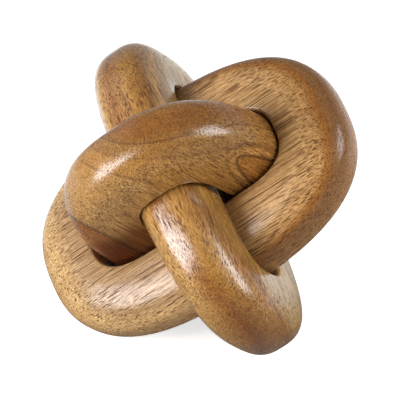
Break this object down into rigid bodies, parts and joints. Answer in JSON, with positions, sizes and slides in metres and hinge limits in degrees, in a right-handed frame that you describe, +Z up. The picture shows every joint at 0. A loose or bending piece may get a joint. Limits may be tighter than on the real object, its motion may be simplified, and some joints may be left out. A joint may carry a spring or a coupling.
{
  "type": "wooden knot sculpture",
  "caption": "Decorative wooden knot of equal oval rings, each passing through the slot of the next, standing on the rings' lower ends.",
  "frame": {"origin": "on the surface that the knot stands on, below the middle of its box", "axes": "+Z up through the middle of the knot, -Y to the front, from where the front ring's near end points at the viewer, and +X to the viewer's right"},
  "size_m": [0.1242, 0.1238, 0.106],
  "materials": {
    "right_ring_wood": "honey-brown open-pored hardwood, smoothed and clear satin lacquered",
    "left_ring_wood": "golden-brown open-pored hardwood with a paler sapwood band, smoothed and clear satin lacquered",
    "front_ring_wood": "darker brown open-pored hardwood, smoothed and clear satin lacquered",
    "dowel_wood": "bare pale hardwood, fluted"
  },
  "bodies": {
    "left_ring": {"left_ring": "left_ring_wood"},
    "right_ring": {"right_ring": "right_ring_wood"},
    "front_ring": {"front_ring_upper_half": "front_ring_wood", "front_ring_lower_half": "front_ring_wood", "dowel_right_inner": "dowel_wood", "dowel_right_outer": "dowel_wood", "dowel_left_inner": "dowel_wood", "dowel_left_outer": "dowel_wood"}
  },
  "joints": [
    {"name": "right_ring_slide", "type": "slide", "parent": "left_ring", "child": "right_ring", "axis": [0.8154, -0.0578, 0.576], "range_m": [0, 0.0018]},
    {"name": "front_ring_slide", "type": "slide", "parent": "left_ring", "child": "front_ring", "axis": [-0.4557, -0.6778, 0.577], "range_m": [0, 0.0018]}
  ]
}
